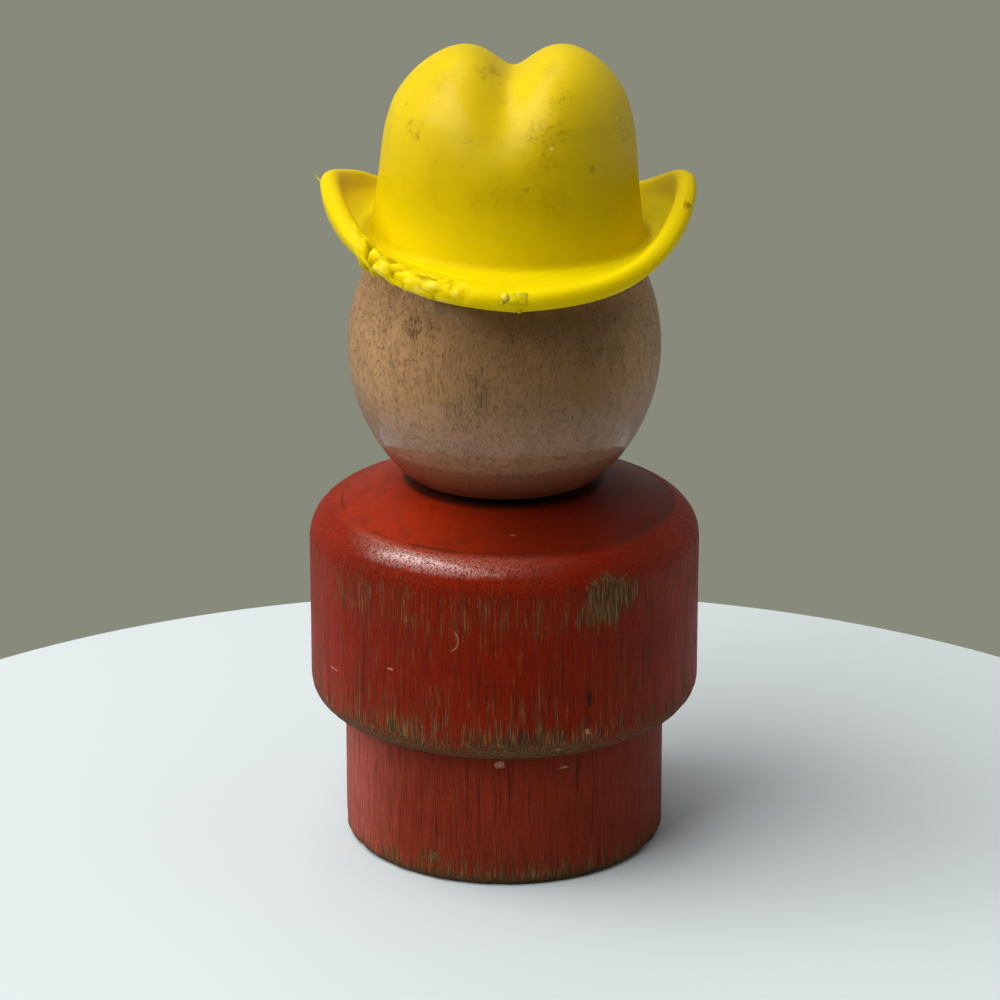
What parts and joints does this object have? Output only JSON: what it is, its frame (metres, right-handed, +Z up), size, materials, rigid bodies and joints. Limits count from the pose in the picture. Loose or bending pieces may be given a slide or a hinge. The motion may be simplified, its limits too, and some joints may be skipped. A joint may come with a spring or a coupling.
{
  "type": "wooden peg figure",
  "caption": "Turned wooden peg figure with a painted drum body on a narrow peg base, a ball head that turns on a neck dowel, and a push-in moulded hat with creased crown and curled brim.",
  "frame": {"origin": "centre of the base's underside, on the surface the figure stands on", "axes": "+Z up through the body and head, +Y the way the figure faces, +X to the figure's right"},
  "size_m": [0.0262, 0.0262, 0.0545],
  "materials": {
    "red_paint": "worn satin paint over turned wood, grain showing through on the edges",
    "dowel_wood": "plain hardwood dowel",
    "head_wood": "lacquered bare wood with fine dark pores",
    "hat_plastic": "satin soft moulded plastic, scuffed"
  },
  "bodies": {
    "torso": {"body": "red_paint", "neck_dowel": "dowel_wood"},
    "head": {"head": "head_wood"},
    "hat": {"hat": "hat_plastic"}
  },
  "joints": [
    {"name": "head_turn", "type": "hinge", "parent": "torso", "child": "head", "pos_m": [0, 0, 0.0346], "axis": [0, 0, 1], "continuous": true},
    {"name": "hat_lift", "type": "slide", "parent": "head", "child": "hat", "axis": [0.0262, 0, 0.9997], "range_m": [0, 0.015]}
  ]
}
